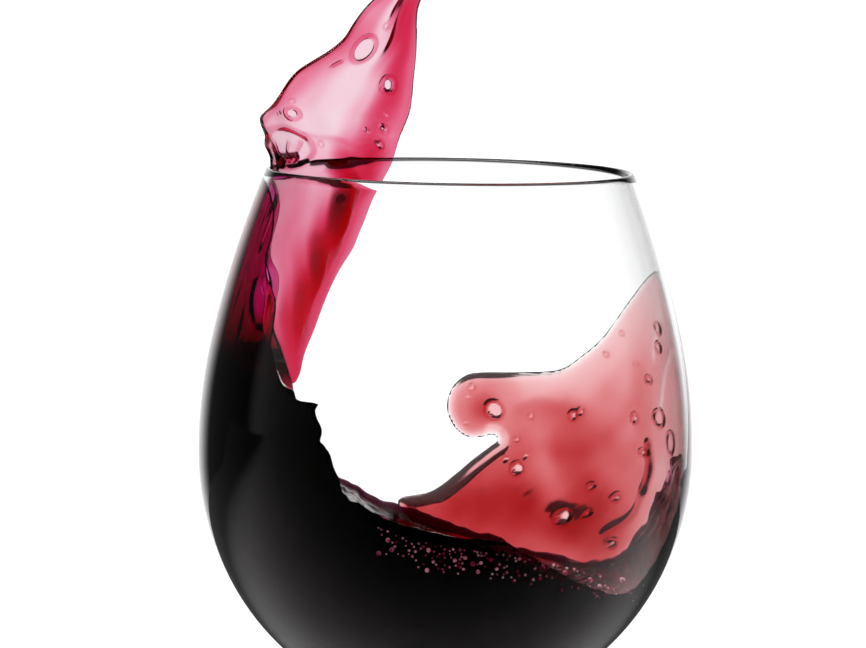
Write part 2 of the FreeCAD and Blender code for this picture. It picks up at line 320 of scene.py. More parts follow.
def wave_surface():
    """The wave as a grid of points: rows along Y, columns down the wave."""
    line = catmull(WAVE, WAVE_STEP)
    rows = np.arange(-BLOCK_HALF, BLOCK_HALF + 0.01, 0.8)
    x0, h0, near_rise, far_rise = line.T
    slope = np.gradient(line[:, :2], axis=0)
    normal = np.column_stack([-slope[:, 1], slope[:, 0]])
    normal /= np.linalg.norm(normal, axis=1)[:, None]
    along = np.arange(len(line)) * WAVE_STEP
    Y, A = np.meshgrid(rows, along, indexing="ij")
    near = np.clip(-Y / 42.0, 0, 1) ** 2
    far = np.clip(Y / 41.0, 0, 1) ** 6
    # the steep face follows the line of sight, so that it is seen edge on
    steep = 1 - smoothstep(x0, -24.0, -16.0)
    X = x0 + steep * ((x0 - CAMERA_X) * Y / CAMERA_DISTANCE - FACE_TURN * Y)
    H = h0 - steep * smoothstep(-h0, 36.0, 44.0) * SIGHT_SLOPE * Y + near_rise * near + far_rise * far
    crumple = smoothstep(x0, 0.0, 12.0) * smoothstep(Y, -10.0, 20.0)
    ripple = 0.45 * waves(A * 0.5, Y, 17.0, 3) + 0.16 * waves(A, Y * 0.5, 5.0, 4)
    ripple = ripple * (0.2 + 0.8 * smoothstep(-h0, 46.0, 60.0)) + 0.55 * crumple * waves(A, Y, 12.0, 5)
    # the small ledge that juts from the steep face, with its bead
    middle = np.exp(-(np.clip(Y - LEDGE_MIDDLE, 0.0, None) / 9.0) ** 2)
    shelf = middle * smoothstep(-h0, 44.3, 45.2) * (1 - smoothstep(-h0, 49.0, 55.0))
    bead = middle * np.exp(-((h0 - LEDGE_LEVEL) / 0.5) ** 2)
    X = X + normal[:, 0] * ripple + LEDGE_REACH * shelf + 0.8 * bead
    H = H + normal[:, 1] * ripple + 0.3 * bead
    # a meniscus where the surface meets the wall
    gap = inner_radius(np.clip(H, -97.9, -1.0)) - np.hypot(X, Y)
    H = H + 1.3 * np.exp(-np.clip(gap, 0, 50)) * smoothstep(-h0, 45.0, 60.0)
    return X, Y, H, rows


def wave_block():
    """Everything under the wave, as a closed block that the bowl's round body is cut with."""
    X, Y, H, rows = wave_surface()
    m, n = X.shape
    vertices = np.stack([X, Y, H + RIM], -1).reshape(-1, 3).tolist()
    vertices += [(-BLOCK_HALF, y, RIM - BLOCK_DEPTH) for y in rows]
    vertices += [(BLOCK_HALF, y, RIM - BLOCK_DEPTH) for y in rows]
    left = m * n
    right = left + m
    faces = []
    for i in range(m - 1):
        a, b = i * n, (i + 1) * n
        faces.extend((a + j, a + j + 1, b + j + 1, b + j) for j in range(n - 1))
        faces.append((left + i, a, b, left + i + 1))
        faces.append((a + n - 1, right + i, right + i + 1, b + n - 1))
        faces.append((right + i, left + i, left + i + 1, right + i + 1))
    faces.append([left, right] + [j for j in range(n - 1, -1, -1)])
    faces.append([right + m - 1, right - 1] + [(m - 1) * n + j for j in range(n)])
    block = make_object("wave_block", vertices, faces)
    triangulate(block)
    outward(block)
    return block


def round_body():
    """The room inside the bowl, reaching a little into its wall."""
    rise = np.linspace(-0.5, WIDEST_H, 44)
    upper = np.column_stack([inner_radius(rise, BULK_SEAT), RIM + rise])
    down = np.linspace(0.5 * math.pi, 0.0, 40)[1:, None]
    depth = BOWL_DEPTH - BOTTOM_WALL + BULK_SEAT
    lower = np.hstack([(BOWL_RADIUS - WALL + BULK_SEAT) * np.sin(down),
                       RIM + WIDEST_H - depth * np.cos(down)])
    body = lathe("wine_body", np.vstack([[[0.0, RIM - 0.5]], upper, lower]), 260)
    triangulate(body)
    outward(body)
    return body


# How thick the wine is that clings to the left wall (mm), at each h.
CLING = [(-56.0, 44.6), (-46.0, 44.6), (-44.0, 34.0), (-42.0, 12.0), (-40.0, 5.0), (-38.0, 2.6),
         (-36.0, 1.6), (-34.0, 1.1), (-30.0, 0.72), (-24.0, 0.52), (-18.0, 0.42), (-10.0, 0.36),
         (-4.0, 0.32), (6.0, 0.28)]
CLING_SEGMENTS = 720
# The drawn-out bubble in it, beside the steep face: x, h, half width, half height.
LENS = (-33.8, -23.4, 1.7, 4.3)


def cling_room():
    """The air behind the wine that clings to the left wall: a round room with an uneven wall."""
    levels = np.concatenate([np.arange(-48.0, -44.0, 1.0), np.arange(-44.0, 5.0, 0.6)])
    angle = np.linspace(0, 2 * math.pi, CLING_SEGMENTS, endpoint=False)
    T, H = np.meshgrid(angle, levels, indexing="ij")
    wall = inner_radius(np.clip(H, -97.0, -0.2))
    width = T * UNFOLD
    thick = pchip(H, *zip(*CLING))
    thin = smoothstep(H, -36.0, -26.0)
    thick = thick * (1 + thin * (0.22 * waves(width, H * 0.16, 9.0, 31)
                                 + 0.10 * waves(width, H * 0.4, 5.0, 32)))
    lens_x, lens_h, half_width, half_height = LENS
    lens = ((-wall * np.cos(T) - lens_x) / half_width) ** 2 + ((H - lens_h) / half_height) ** 2
    thick = thick - (thick - 0.16) * (1 - smoothstep(lens, 0.2, 1.5))
    r = np.maximum(wall - thick, 0.5)
    x, y = -r * np.cos(T), -r * np.sin(T)
    segments, count = T.shape
    vertices = np.stack([x, y, H + RIM], -1).reshape(-1, 3).tolist()
    vertices += [(0.0, 0.0, RIM + levels[0]), (0.0, 0.0, RIM + levels[-1])]
    low, high = len(vertices) - 2, len(vertices) - 1
    faces = []
    for i in range(segments):
        a, b = i * count, (i + 1) % segments * count
        faces.extend((a + j, b + j, b + j + 1, a + j + 1) for j in range(count - 1))
        faces.append((low, b, a))
        faces.append((high, a + count - 1, b + count - 1))
    room = make_object("cling_room", vertices, faces)
    triangulate(room)
    outward(room)
    return room


def balls(name, places):
    """Many small spheres in one mesh: (x, y, h, radius) each."""
    bm = bmesh.new()
    for x, y, h, radius in places:
        spot = Matrix.Translation(Vector((x, y, h + RIM)) * MM)
        bmesh.ops.create_icosphere(bm, subdivisions=2, radius=radius * MM, matrix=spot)
    mesh = bpy.data.meshes.new(name)
    bm.to_mesh(mesh)
    bm.free()
    obj = bpy.data.objects.new(name, mesh)
    bpy.context.scene.collection.objects.link(obj)
    return obj


# The line along which the wine meets the near wall: x, h.
NEAR_LINE = [(-18.0, -57.0), (-13.2, -59.4), (-7.9, -61.8), (-0.8, -63.4), (10.0, -64.9), (20.9, -67.6),
             (32.1, -71.2), (38.0, -75.0)]
FOAM_COUNT = 150
FOAM_TRIES = 6000
FOAM_GAP = 0.08
FOAM_LEFT = -13.0
FOAM_RIGHT = 36.5


def foam():
    """Small bubbles under the surface, against the near wall."""
    rng = np.random.default_rng(17)
    places = []
    tries = 0
    while len(places) < FOAM_COUNT and tries < FOAM_TRIES:
        tries += 1
        x = rng.normal(2.0, 8.0) if rng.random() < 0.6 else rng.uniform(-12.0, 37.0)
        if not FOAM_LEFT < x < FOAM_RIGHT:
            continue
        radius = 0.16 + 0.34 * rng.random() ** 2.4
        line_h = float(pchip(x, *zip(*NEAR_LINE)))
        h = line_h - 0.5 - radius - 4.8 * rng.random() ** 1.4
        r = float(inner_radius(h)) - 0.86 * radius
        y = -math.sqrt(max(1.0, r * r - x * x))
        if all((x - other_x) ** 2 + (y - other_y) ** 2 + (h - other_h) ** 2 > (radius + other + FOAM_GAP) ** 2
               for other_x, other_y, other_h, other in places):
            places.append((x, y, h, radius))
    return balls("wine_foam", places)


def thick_wine():
    """The wave inside the bowl, with the wine that clings to the left wall."""
    body = round_body()
    combine(body, wave_block(), "INTERSECT")
    combine(body, cling_room(), "DIFFERENCE")
    return body


# ------------------------------------------------------------------ sheets on the wall

def unfold(points, radius_at):
    """Front-view points (x, h) on the far wall, unrolled to (width, h)."""
    out = []
    for x, h in points:
        r = float(radius_at(h))
        out.append((UNFOLD * math.asin(max(-1.0, min(1.0, x / r))), h))
    return np.array(out)


def unfold_bubble(bubble, radius_at):
    """A bubble seen from the front, moved to the unrolled wall; it keeps the width that it shows."""
    x, h, width, height, lean = bubble
    r = float(radius_at(h))
    angle = math.asin(max(-0.98, min(0.98, x / r)))
    return UNFOLD * angle, h, width * UNFOLD / r / max(0.45, math.cos(angle)), height, lean


def shell(name, low, high, step, field):
    """A closed sheet wherever field says that it has thickness.

    field(A, H) returns the distance in from the sheet's edge, and the two radii of its faces.
    """
    a = np.arange(low[0], high[0] + step, step)
    h = np.arange(low[1], high[1] + step, step)
    A, H = np.meshgrid(a, h, indexing="ij")
    depth, outer, inner = field(A, H)
    n = len(h)
    ids = np.arange(A.size).reshape(A.shape)
    p, q = ids[:-1, :-1].ravel(), ids[1:, :-1].ravel()
    r, s = ids[1:, 1:].ravel(), ids[:-1, 1:].ravel()
    triangles = np.vstack([np.column_stack([p, q, r]), np.column_stack([p, r, s])])
    d = depth.ravel()
    solid = d > 0
    count = solid[triangles].sum(1)
    A, H = A.ravel(), H.ravel()
    faces2d = triangles[count == 3].tolist()
    points = [A, H]
    cut_ids = {}
    new_a, new_h = [], []

    def cut(i, j):
        key = (i, j) if i < j else (j, i)
        if key not in cut_ids:
            i, j = key
            t = d[i] / (d[i] - d[j])
            t = min(0.96, max(0.04, t))
            cut_ids[key] = A.size + len(new_a)
            new_a.append(A[i] + t * (A[j] - A[i]))
            new_h.append(H[i] + t * (H[j] - H[i]))
        return cut_ids[key]

    for tri in triangles[(count == 1) | (count == 2)].tolist():
        inside = [solid[v] for v in tri]
        if sum(inside) == 1:
            k = inside.index(True)
            u, v, w = tri[k], tri[(k + 1) % 3], tri[(k + 2) % 3]
            faces2d.append([u, cut(u, v), cut(u, w)])
        else:
            k = inside.index(False)
            w, u, v = tri[k], tri[(k + 1) % 3], tri[(k + 2) % 3]
            p, q = cut(v, w), cut(u, w)
            faces2d.append([u, v, p])
            faces2d.append([u, p, q])
    rim_a, rim_h = np.array(new_a), np.array(new_h)
    A, H = np.concatenate([A, rim_a]), np.concatenate([H, rim_h])
    depth, outer, inner = field(A, H)
    rim = np.arange(A.size) >= d.size
    middle = 0.5 * (outer + inner)
    hug = outer_on_edge(H)
    edge_radius = np.where(hug > 0.5, outer, middle)
    outer = np.where(rim, edge_radius, outer)
    inner = np.where(rim, edge_radius, inner)
    faces2d = np.array(faces2d)
    used = np.unique(faces2d)
    remap = np.full(A.size, -1)
    remap[used] = np.arange(len(used))
    tri = remap[faces2d]
    angle = A[used] / UNFOLD
    z = H[used] + RIM
    front_side = np.column_stack([outer[used] * np.sin(angle), outer[used] * np.cos(angle), z])
    back = np.arange(len(used))
    inner_used = ~rim[used]
    back[inner_used] = len(used) + np.arange(int(inner_used.sum()))
    back_side = np.column_stack([inner[used] * np.sin(angle), inner[used] * np.cos(angle), z])[inner_used]
    faces = tri.tolist() + back[tri][:, ::-1].tolist()
    obj = make_object(name, np.vstack([front_side, back_side]), faces)
    outward(obj)
    return obj


def outer_on_edge(h):
    """1 where a sheet's edge lies on the wall, 0 where it flies free."""
    return (np.asarray(h) < -0.4).astype(float)


# The flying sheet's two edges from the front: x at each h.
LEFT_EDGE = [(-44.0, -31.6), (-40.0, -32.3), (-36.0, -33.5), (-31.5, -34.8), (-27.0, -34.6), (-23.0, -34.6),
             (-17.0, -35.9), (-12.0, -35.2), (-6.0, -33.8), (-3.0, -34.1), (-1.1, -34.0), (0.0, -33.3),
             (1.9, -34.2), (4.9, -35.2), (7.6, -36.2), (8.9, -35.8), (10.8, -33.9), (12.7, -32.3),
             (15.3, -30.7), (16.9, -29.3), (18.5, -27.0), (20.6, -23.9), (22.9, -21.2), (25.1, -19.7),
             (28.0, -17.4), (30.5, -15.0), (33.5, -11.6), (36.0, -8.0), (37.4, -5.0)]
RIGHT_EDGE = [(-44.0, -30.2), (-42.0, -29.1), (-38.0, -28.0), (-34.0, -26.3), (-30.0, -24.9), (-26.0, -23.3),
              (-22.0, -21.3), (-18.0, -18.8), (-15.0, -17.6), (-12.0, -16.4), (-8.0, -14.9), (-5.0, -13.2),
              (-1.1, -11.2), (3.4, -9.9), (6.5, -8.6),
              (9.5, -7.7), (15.0, -7.3), (19.2, -6.9), (22.9, -6.8), (27.7, -6.8), (30.1, -6.2),
              (34.0, -4.9), (37.4, -4.2)]
# Its outer face's radius where it passes the lip, in the middle of the glass, and flies free.
LIP_INNER = float(inner_radius(-0.5 * WALL)) + 0.42
FREE_RADIUS = [(-2.0, LIP_INNER), (1.2, LIP_INNER), (3.2, LIP_INNER + 0.8), (5.0, 35.8), (7.6, 37.6),
               (10.0, 38.4), (13.0, 38.3), (20.0, 36.2), (28.0, 34.0), (38.0, 32.0)]
LEAVES_WALL = -0.9      # over this h the sheet flies free of the wall


def sheet_radius(h):
    """Radius of the flying sheet's outer face."""
    h = np.asarray(h, float)
    free = pchip(h, *zip(*FREE_RADIUS))
    at_wall = inner_radius(np.minimum(h, LEAVES_WALL), SHEET_SEAT)
    leave = smoothstep(h, LEAVES_WALL - 1.2, LEAVES_WALL + 0.3)
    return at_wall * (1 - leave) + free * leave


# Bubbles in the flying sheet, from the front: x, h, width, height (mm), lean (degrees).
SHEET_BUBBLES = [(-17.4, 20.6, 5.0, 4.4, 35.0), (-12.2, 13.6, 2.2, 3.2, 8.0), (-30.4, 8.6, 2.4, 2.2, 0.0),
                 (-30.6, 2.6, 7.2, 7.6, 0.0), (-13.2, 5.4, 1.5, 1.5, 0.0), (-14.4, 2.6, 1.7, 1.7, 0.0),
                 (-12.6, 7.8, 0.9, 0.9, 0.0), (-30.5, 10.9, 1.0, 1.0, 0.0), (-24.9, 2.9, 1.0, 1.0, 0.0),
                 (-16.4, 5.0, 0.9, 0.9, 0.0), (-13.0, 25.0, 1.2, 1.2, 0.0), (-33.0, 9.0, 0.8, 0.8, 0.0)]

# How thick the sheet is (mm), across it from the left edge to the right, at some heights.
SHEET_H = [-44.0, -38.0, -32.0, -26.0, -20.0, -13.0, -6.0, -1.0, 3.0, 8.0, 13.0, 18.0, 23.0, 28.0, 33.0, 38.0]
SHEET_U = [0.0, 0.10, 0.30, 0.50, 0.62, 0.74, 0.86, 1.0]
SHEET_T = [[2.2, 2.2, 2.2, 2.2, 2.2, 2.2, 2.2, 1.8],
           [1.4, 1.8, 2.2, 2.4, 2.2, 2.0, 1.7, 1.4],
           [0.6, 1.3, 2.4, 3.6, 3.2, 2.2, 1.8, 1.3],
           [0.10, 0.8, 1.6, 4.0, 4.6, 2.4, 1.9, 1.2],
           [0.10, 0.8, 1.05, 2.0, 5.4, 3.0, 1.9, 1.1],
           [0.10, 0.8, 1.0, 1.0, 2.0, 5.4, 2.2, 1.1],
           [0.10, 0.7, 0.9, 0.7, 0.75, 4.6, 2.4, 1.1],
           [0.30, 0.4, 0.45, 0.40, 0.5, 2.6, 2.6, 1.2],
           [0.30, 0.32, 0.34, 0.30, 0.32, 1.2, 2.5, 1.2],
           [0.35, 0.5, 0.40, 0.27, 0.27, 0.55, 2.4, 1.1],
           [0.6, 0.9, 0.45, 0.27, 0.27, 0.55, 2.3, 1.0],
           [0.8, 1.1, 0.80, 0.27, 0.27, 1.1, 2.4, 1.0],
           [1.0, 1.2, 1.10, 0.36, 0.45, 2.3, 2.5, 1.1],
           [0.8, 0.9, 0.90, 0.30, 1.5, 2.7, 2.6, 1.2],
           [1.3, 1.4, 1.30, 0.6, 1.7, 2.4, 2.2, 1.3],
           [1.7, 1.7, 1.70, 1.7, 1.7, 1.7, 1.7, 1.5]]

# Folds in the sheet, from the front: points, height (mm), half width (mm).
SHEET_FOLDS = [([(-33.4, 4.0), (-32.3, 1.6), (-31.2, 0.2)], 0.45, 0.35),
               ([(-30.9, 3.8), (-31.0, 1.8), (-31.0, 0.2)], 0.30, 0.3),
               ([(-28.5, 3.4), (-29.3, 1.6), (-30.2, 0.2)], 0.45, 0.35),
               ([(-32.4, 0.6), (-29.6, 0.5)], 1.1, 0.9),
               ([(-23.6, 17.4), (-21.7, 18.3)], 0.8, 0.28)]
SHEET_STEP = 0.36


def table(u, h, us, hs, rows):
    """Smooth look-up in a small table: rows by h, columns by u."""
    columns = [pchip(h, hs, [row[k] for row in rows]) for k in range(len(us))]
    i = np.clip(np.searchsorted(us, u, side="right") - 1, 0, len(us) - 2)
    us = np.asarray(us)
    t = (u - us[i]) / (us[i + 1] - us[i])
    t = t * t * (3 - 2 * t)
    stack = np.stack(columns)
    low = np.take_along_axis(stack, i[None], 0)[0]
    high = np.take_along_axis(stack, i[None] + 1, 0)[0]
    return low * (1 - t) + high * t


def bubble_relief(A, H, bubbles, thick):
    """Thins the sheet inside each bubble and raises a ring round it."""
    for a, h, width, height, lean in bubbles:
        c, s = math.cos(math.radians(lean)), math.sin(math.radians(lean))
        u = ((A - a) * c + (H - h) * s) / (0.5 * width)
        v = (-(A - a) * s + (H - h) * c) / (0.5 * height)
        d = np.sqrt(u * u + v * v)
        size = min(width, height)
        ring = min(0.34, 0.08 + 0.30 / size)
        relief = min(1.0, max(0.25, 1.5 * math.cos(a / UNFOLD)))
        hole = relief * (1.0 - smoothstep(d, 1.0 - 1.4 * ring, 1.0 - 0.2 * ring))
        thick = thick * (1 - hole) + 0.26 * hole
        thick = thick + relief * min(0.75, 0.40 * size) * np.exp(-((d - 1.0) / ring) ** 2)
    return thick


def add_folds(A, H, folds, radius_at, thick):
    """Raises, or with a negative height sinks, soft ridges along drawn lines."""
    for points, height, width in folds:
        line = unfold(catmull(points, 0.5), radius_at)
        thick = thick + height * np.exp(-(distance_to_line(A, H, line) / width) ** 2)
    return thick


def flying_sheet():
    """The sheet that hangs on the far wall at the left and flies up past the lip."""
    left, right = (unfold(catmull([(x, h) for h, x in edge], 0.8), sheet_radius)
                   for edge in (LEFT_EDGE, RIGHT_EDGE))
    outline = np.vstack([right, left[::-1]])
    bubbles = [unfold_bubble(bubble, sheet_radius) for bubble in SHEET_BUBBLES]

    def field(A, H):
        depth = inside_distance(A, H, outline)
        al = np.interp(H, left[:, 1], left[:, 0])
        ar = np.interp(H, right[:, 1], right[:, 0])
        u = np.clip((A - al) / np.maximum(ar - al, 0.5), 0, 1)
        thick = table(u, H, SHEET_U, SHEET_H, SHEET_T)
        thick = thick * (1 + 0.10 * waves(A, H * 0.5, 12.0, 11))
        # the wavy inner edge of the liquid that clings just above the lip
        crest = 3.5 + 0.9 * np.sin((A + 40) * 0.26) + 0.3 * np.sin((A + 3) * 0.7)
        across = smoothstep(u, 0.25, 0.4) * (1 - smoothstep(u, 0.8, 0.9))
        thick = thick + 0.30 * np.exp(-((H - crest) / 0.5) ** 2) * across
        # a bead along the sheet's edge, stronger where it flies free
        thick = thick + (0.08 + 0.3 * smoothstep(H, -1.0, 4.0)) * np.exp(-(depth - 0.6) ** 2 / 0.35)
        thick = bubble_relief(A, H, bubbles, thick)
        thick = add_folds(A, H, SHEET_FOLDS, sheet_radius, thick)
        free = smoothstep(H, -1.0, 3.0)
        round_at = 0.55 * np.clip(thick, 0.8, 3.0)
        blunt = np.sqrt(np.clip(1 - (1 - np.clip(depth / round_at, 0, 1)) ** 2, 0, 1))
        thick = np.maximum(thick * blunt, 0.02)
        sway = free * (0.7 * waves(A, H, 26.0, 12, 2) - 0.3)
        outer = sheet_radius(H) + sway * smoothstep(H, 2.0, 8.0)
        outer = outer + 0.35 * smoothstep(H, 1.0, 5.0) * np.clip(thick - 1.0, -0.7, 1.6)
        return depth, outer, outer - thick

    low = (outline[:, 0].min() - 0.5, outline[:, 1].min() - 0.5)
    high = (outline[:, 0].max() + 0.5, outline[:, 1].max() + 0.5)
    return shell("wine_sheet", low, high, SHEET_STEP, field)


# The far film's outline: x, h on the far wall up to x = 40, then turns of the right wall.
FILM_EDGE = [(-9.0, -69.0), (-8.5, -67.2), (-2.7, -65.9), (2.0, -62.5), (5.6, -59.4), (9.2, -56.6),
             (10.6, -55.4), (9.4, -54.4), (7.2, -55.0), (4.6, -55.1), (2.4, -53.8), (0.9, -51.6),
             (0.3, -48.9), (1.2, -45.6), (3.6, -43.2), (6.6, -42.4), (14.0, -42.0), (22.0, -41.0),
             (26.5, -37.8), (30.5, -33.6), (34.5, -27.0), (38.0, -20.8), (40.0, -17.0)]
FILM_TOP_POINTS = 8     # how many of the points above belong to its upper edge
FILM_AROUND = [(1.58, -16.0), (1.62, -22.0), (1.68, -30.0), (1.74, -40.0), (1.80, -52.0), (1.86, -66.0),
               (1.75, -80.0)]

FILM_BUBBLES = [(9.9, -49.6, 3.4, 3.6, 30.0), (14.8, -60.7, 2.5, 2.5, 0.0), (17.2, -50.4, 1.1, 1.1, 0.0),
                (14.5, -55.1, 1.1, 1.1, 0.0), (12.4, -59.0, 1.0, 1.0, 0.0), (16.4, -58.2, 0.9, 0.9, 0.0),
                (25.8, -49.6, 1.7, 1.7, 0.0), (27.2, -48.8, 1.2, 1.2, 0.0), (24.8, -69.4, 3.6, 3.2, 0.0),
                (29.8, -68.2, 1.3, 1.3, 0.0), (34.0, -73.2, 1.8, 1.8, 0.0), (34.6, -64.4, 1.3, 1.5, 0.0),
                (29.9, -62.9, 1.3, 1.3, 0.0), (37.4, -48.6, 1.3, 1.9, 0.0), (39.2, -54.8, 1.6, 1.4, 0.0),
                (39.6, -40.6, 1.1, 1.5, 0.0), (37.2, -38.0, 0.9, 0.9, 0.0), (41.6, -47.6, 2.2, 3.2, 0.0),
                (40.9, -33.8, 1.5, 1.9, 0.0), (40.6, -30.0, 1.6, 2.2, 0.0), (43.6, -51.6, 2.0, 4.2, 0.0),
                (31.4, -37.0, 1.0, 1.0, 0.0), (34.2, -32.4, 0.9, 0.9, 0.0), (5.2, -45.4, 1.2, 1.2, 0.0),
                (4.6, -47.0, 0.9, 0.9, 0.0), (4.2, -52.3, 0.8, 0.8, 0.0)]

# Folds in the film, as in the sheet.
FILM_FOLDS = [([(39.8, -53.0), (40.1, -57.5), (39.2, -62.0)], 0.7, 1.0),
              ([(39.2, -62.0), (37.2, -67.5), (33.0, -71.6)], 0.45, 1.0),
              ([(43.6, -30.0), (42.2, -38.0), (41.6, -46.0)], -0.2, 1.0),
              ([(40.6, -26.0), (40.0, -36.0)], -0.2, 0.9),
              ([(14.5, -47.6), (18.4, -46.2), (22.4, -46.8)], -0.15, 1.1),
              ([(15.5, -48.8), (20.0, -48.0), (26.0, -49.0)], 0.4, 2.2),
              ([(21.0, -61.0), (22.0, -66.0)], -0.4, 3.2),
              ([(18.6, -54.6), (19.0, -58.0)], -0.3, 2.8),
              ([(23.4, -57.0), (27.6, -56.2)], 0.4, 2.4),
              ([(29.0, -62.0), (30.5, -66.0), (28.0, -69.5)], 0.6, 3.6),
              ([(8.0, -66.4), (13.0, -65.4), (17.5, -66.8)], 0.5, 2.4),
              ([(4.0, -69.5), (14.0, -69.5), (24.0, -71.0), (34.0, -73.0)], 0.7, 3.6)]
# The inner side of the pale strip that runs from the lobe's neck down to the wave.
NECK = [(11.4, -53.6), (10.9, -55.6), (8.4, -57.9), (4.0, -61.2), (-0.6, -64.4)]
FILM_STEP = 0.42


def edge_seat(depth):
    """How far a sheet reaches into the wall: less at its very edge."""
    return SHEET_SEAT * (0.1 + 0.9 * smoothstep(depth, 0.0, 1.2))


def film_radius(h):
    return inner_radius(h, SHEET_SEAT)


def far_film():
    """The thin film on the far right wall, with its curled lobe."""
    edge = unfold(catmull(FILM_EDGE, 0.6), film_radius)
    around = catmull([(UNFOLD * a, h) for a, h in FILM_AROUND], 1.0)
    outline = np.vstack([edge, around, [(UNFOLD * 1.2, -84.0), (UNFOLD * 0.3, -78.0), (-9.0, -74.0)]])
    bubbles = [unfold_bubble(bubble, film_radius) for bubble in FILM_BUBBLES]
    top = unfold(catmull(FILM_EDGE[-FILM_TOP_POINTS:], 1.0), film_radius)
    top = np.vstack([top, [(UNFOLD * a, h) for a, h in FILM_AROUND[:2]]])
    neck = unfold(catmull(NECK, 0.5), film_radius)
    side = around[around[:, 1] > -64.0]

    def field(A, H):
        depth = inside_distance(A, H, outline)
        below_top = distance_to_line(A, H, top)
        from_side = distance_to_line(A, H, side)
        streak = waves(A * 0.75 - H * 0.65, (A * 0.65 + H * 0.75) * 0.32, 7.0, 21)
        blotch = waves(A, H, 20.0, 22, 2)
        slant = np.cos(np.clip(A / UNFOLD, 0.0, 1.4))
        # thicker low down and in two patches, thinner where the wall is seen on the slant
        thick = (1.42 + 0.14 * streak + 0.28 * blotch + 0.6 * smoothstep(-H, 56.0, 70.0)
                 + 0.5 * np.exp(-((A - 22.0) / 9.0) ** 2 - ((H + 53.0) / 7.0) ** 2)
                 + 0.7 * np.exp(-((A - 30.0) / 8.0) ** 2 - ((H + 68.0) / 5.0) ** 2)) * (0.12 + 0.88 * slant)
        thick = thick * (0.10 + 0.90 * smoothstep(from_side, 0.0, 14.0))
        thick = thick * (1 - 0.4 * smoothstep(A, 38.0, 50.0))
        # it fades out towards its upper edge, but not in the lobe, which is thickest in its middle
        fade = 0.05 + 0.95 * smoothstep(below_top, 0.0, 17.0)
        lobe = np.exp(-(((A - 5.5) / 6.5) ** 4 + ((H + 48.6) / 7.0) ** 4))
        fade = fade * (1 - lobe) + lobe
        thick = thick * (0.10 + 0.90 * fade)
        heart = np.exp(-((A - 7.2) / 2.6) ** 2 - ((H + 49.4) / 3.0) ** 2)
        thick = thick * (1 - 0.45 * lobe) + 1.1 * lobe * heart
        # the pale strip by the neck, with a dark line on its inner side
        from_neck = distance_to_line(A, H, neck)
        strip = (1 - smoothstep(depth, 1.9, 2.7)) * (1 - smoothstep(from_neck, 2.6, 3.6))
        thick = thick * (1 - 0.5 * strip) + 0.28 * np.exp(-(from_neck / 0.4) ** 2)
        thick = add_folds(A, H, FILM_FOLDS, film_radius, thick)
        thick = bubble_relief(A, H, bubbles, np.maximum(thick, 0.08))
        blunt = np.sqrt(np.clip(1 - (1 - np.clip(depth / 0.4, 0, 1)) ** 2, 0, 1))
        thick = np.maximum(thick, 0.05) * blunt * (0.16 + 0.84 * smoothstep(depth, 0.0, 2.4))
        return depth, inner_radius(H, edge_seat(depth)), inner_radius(H) - thick

    low = (outline[:, 0].min() - 0.5, outline[:, 1].min() - 0.5)
    high = (outline[:, 0].max() + 0.5, outline[:, 1].max() + 0.5)
    return shell("wine_film", low, high, FILM_STEP, field)


# ------------------------------------------------------------------ build

glass = lathe("glass_bowl", glass_profile(), 220)
outward(glass)
wine = thick_wine()
sheet = flying_sheet()
film = far_film()
foam_beads = foam()
for piece in (wine, sheet, film, foam_beads):
    piece.data.shade_smooth()
wine.data.set_sharp_from_angle(angle=math.radians(50))


# ------------------------------------------------------------------ materials

GLASS_IOR = 1.5
WINE_IOR = 1.34


def new_material(name):
    material = bpy.data.materials.new(name)
    material.use_nodes = True
    return material, material.node_tree.nodes, material.node_tree.links


def clear_material(name, base, ior, roughness, grain, detail, strength, tint, density):
    """A clear skin with faint unevenness, over a volume that takes up light."""
    material, nodes, links = new_material(name)
    shader = nodes["Principled BSDF"]
    output = nodes["Material Output"]
    shader.inputs["Base Color"].default_value = (base, base, base, 1)
    shader.inputs["Transmission Weight"].default_value = 1.0
    shader.inputs["IOR"].default_value = ior
    shader.inputs["Roughness"].default_value = roughness
    # painted shade: the black Specular Tint takes the skin's reflection out, save at grazing angles, in place
    # of a dark room in front
    shader.inputs["Specular Tint"].default_value = (0.0, 0.0, 0.0, 1)
    coords = nodes.new("ShaderNodeTexCoord")
    noise = nodes.new("ShaderNodeTexNoise")
    noise.inputs["Scale"].default_value = grain
    noise.inputs["Detail"].default_value = detail
    bump = nodes.new("ShaderNodeBump")
    bump.inputs["Strength"].default_value = strength
    bump.inputs["Distance"].default_value = 0.0004
    links.new(coords.outputs["Object"], noise.inputs["Vector"])
    links.new(noise.outputs["Fac"], bump.inputs["Height"])
    links.new(bump.outputs["Normal"], shader.inputs["Normal"])
    volume = nodes.new("ShaderNodeVolumeAbsorption")
    volume.inputs["Color"].default_value = tint
    volume.inputs["Density"].default_value = density
    links.new(volume.outputs["Volume"], output.inputs["Volume"])
    return material


def wine_material(name, tint, density, base, roughness, grain):
    return clear_material(name, base, WINE_IOR, roughness, grain, 2.0, 0.12, tint, density)


def foam_highlight_material():
    """Small bubbles as opaque balls, coloured from deep wine pink to pale pink; the pale pink is a painted
    highlight that stands in for the light the bubbles catch.
    """
    material, nodes, links = new_material("wine_foam")
    shader = nodes["Principled BSDF"]
    shader.inputs["Roughness"].default_value = 0.12
    coords = nodes.new("ShaderNodeTexCoord")
    noise = nodes.new("ShaderNodeTexNoise")
    noise.inputs["Scale"].default_value = 900.0
    noise.inputs["Detail"].default_value = 2.0
    # painted highlight: the pale end of this ramp stands in for the light that the bubbles catch
    tone = nodes.new("ShaderNodeValToRGB")
    tone.color_ramp.elements[0].position = 0.42
    tone.color_ramp.elements[0].color = (0.42, 0.008, 0.075, 1)
    tone.color_ramp.elements[1].position = 0.66
    tone.color_ramp.elements[1].color = (1.0, 0.62, 0.68, 1)
    links.new(coords.outputs["Object"], noise.inputs["Vector"])
    links.new(noise.outputs["Fac"], tone.inputs["Fac"])
    links.new(tone.outputs["Color"], shader.inputs["Base Color"])
    return material


